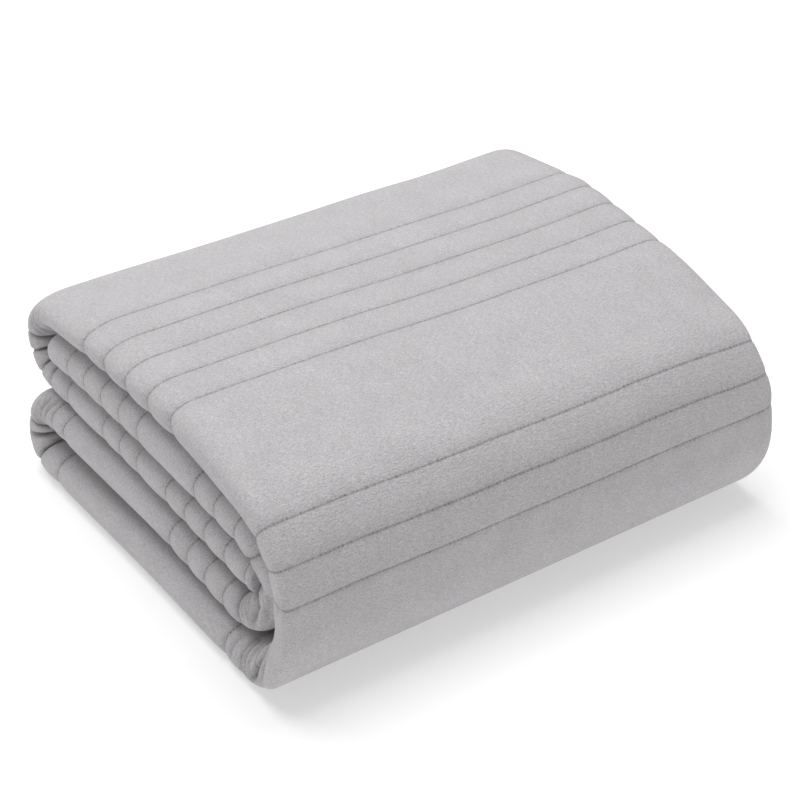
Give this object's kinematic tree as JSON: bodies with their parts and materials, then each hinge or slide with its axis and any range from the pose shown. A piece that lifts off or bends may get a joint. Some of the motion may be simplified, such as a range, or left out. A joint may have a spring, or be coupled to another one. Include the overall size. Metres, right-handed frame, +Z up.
{
  "type": "folded cooling blanket",
  "caption": "Quilted cooling blanket, folded in thirds and then back and forth into a soft block with rounded fold ends and long sewn channels.",
  "frame": {"origin": "centre of the bounding box on the surface that the folded blanket lies on", "axes": "+X along the rounded ends of the layers, which is the longest side, +Y from the big round front fold to the back folds, +Z up"},
  "size_m": [0.505, 0.4224, 0.1917],
  "materials": {
    "quilted_cloth": "light warm grey brushed cloth with a short soft nap, matt with a faint sheen at grazing angles, sewn in long channels with thread of the same grey"
  },
  "bodies": {
    "root": {"blanket": "quilted_cloth"}
  },
  "joints": []
}
